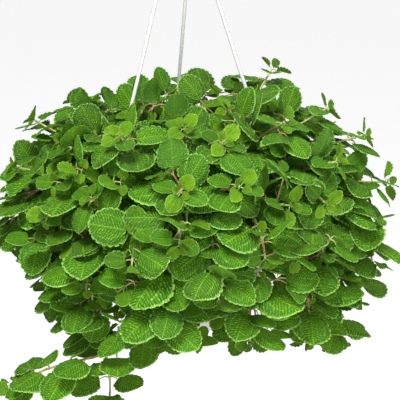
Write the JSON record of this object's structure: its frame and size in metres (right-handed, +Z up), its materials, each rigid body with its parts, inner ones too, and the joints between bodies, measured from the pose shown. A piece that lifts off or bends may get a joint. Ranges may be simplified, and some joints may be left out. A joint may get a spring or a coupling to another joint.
{
  "type": "potted creeping charlie in a hanging pot",
  "caption": "Trailing plant with round scalloped leaves in opposite pairs, spilling over a round pot that hangs by three strands from a hook.",
  "frame": {"origin": "inside of the top of the hook, where it bears on what holds it", "axes": "+Z up along the hanging axis, -Y the front, +X to the right seen from the front"},
  "size_m": [0.3114, 0.294, 0.4251],
  "materials": {
    "foliage": "fresh leaf, satin",
    "white_plastic": "smooth moulded",
    "strand_plastic": "smooth moulded",
    "potting_mix": "loose and crumbly"
  },
  "bodies": {
    "root": {"hanger_hook": "white_plastic", "pot": "white_plastic", "potting_mix": "potting_mix", "strand_back": "strand_plastic", "strand_front_left": "strand_plastic", "strand_right": "strand_plastic", "vine_01": "foliage", "vine_02": "foliage", "vine_03": "foliage", "vine_04": "foliage", "vine_05": "foliage", "vine_06": "foliage", "vine_07": "foliage", "vine_08": "foliage", "vine_09": "foliage", "vine_10": "foliage", "vine_11": "foliage", "vine_12": "foliage", "vine_13": "foliage", "vine_14": "foliage", "vine_15": "foliage", "vine_16": "foliage", "vine_17": "foliage", "vine_18": "foliage", "vine_19": "foliage", "vine_20": "foliage", "vine_21": "foliage", "vine_22": "foliage", "vine_23": "foliage", "vine_24": "foliage", "vine_25": "foliage", "vine_26": "foliage", "vine_27": "foliage", "vine_28": "foliage", "vine_29": "foliage", "vine_30": "foliage", "vine_31": "foliage", "vine_32": "foliage", "vine_33": "foliage", "vine_34": "foliage", "vine_35": "foliage", "vine_36": "foliage", "vine_37": "foliage", "vine_38": "foliage", "vine_39": "foliage", "vine_40": "foliage", "vine_41": "foliage", "vine_42": "foliage", "vine_43": "foliage", "vine_44": "foliage", "vine_45": "foliage", "vine_46": "foliage", "vine_47": "foliage", "vine_48": "foliage", "vine_49": "foliage", "vine_50": "foliage", "vine_51": "foliage", "vine_52": "foliage", "vine_53": "foliage", "vine_54": "foliage"}
  },
  "joints": []
}
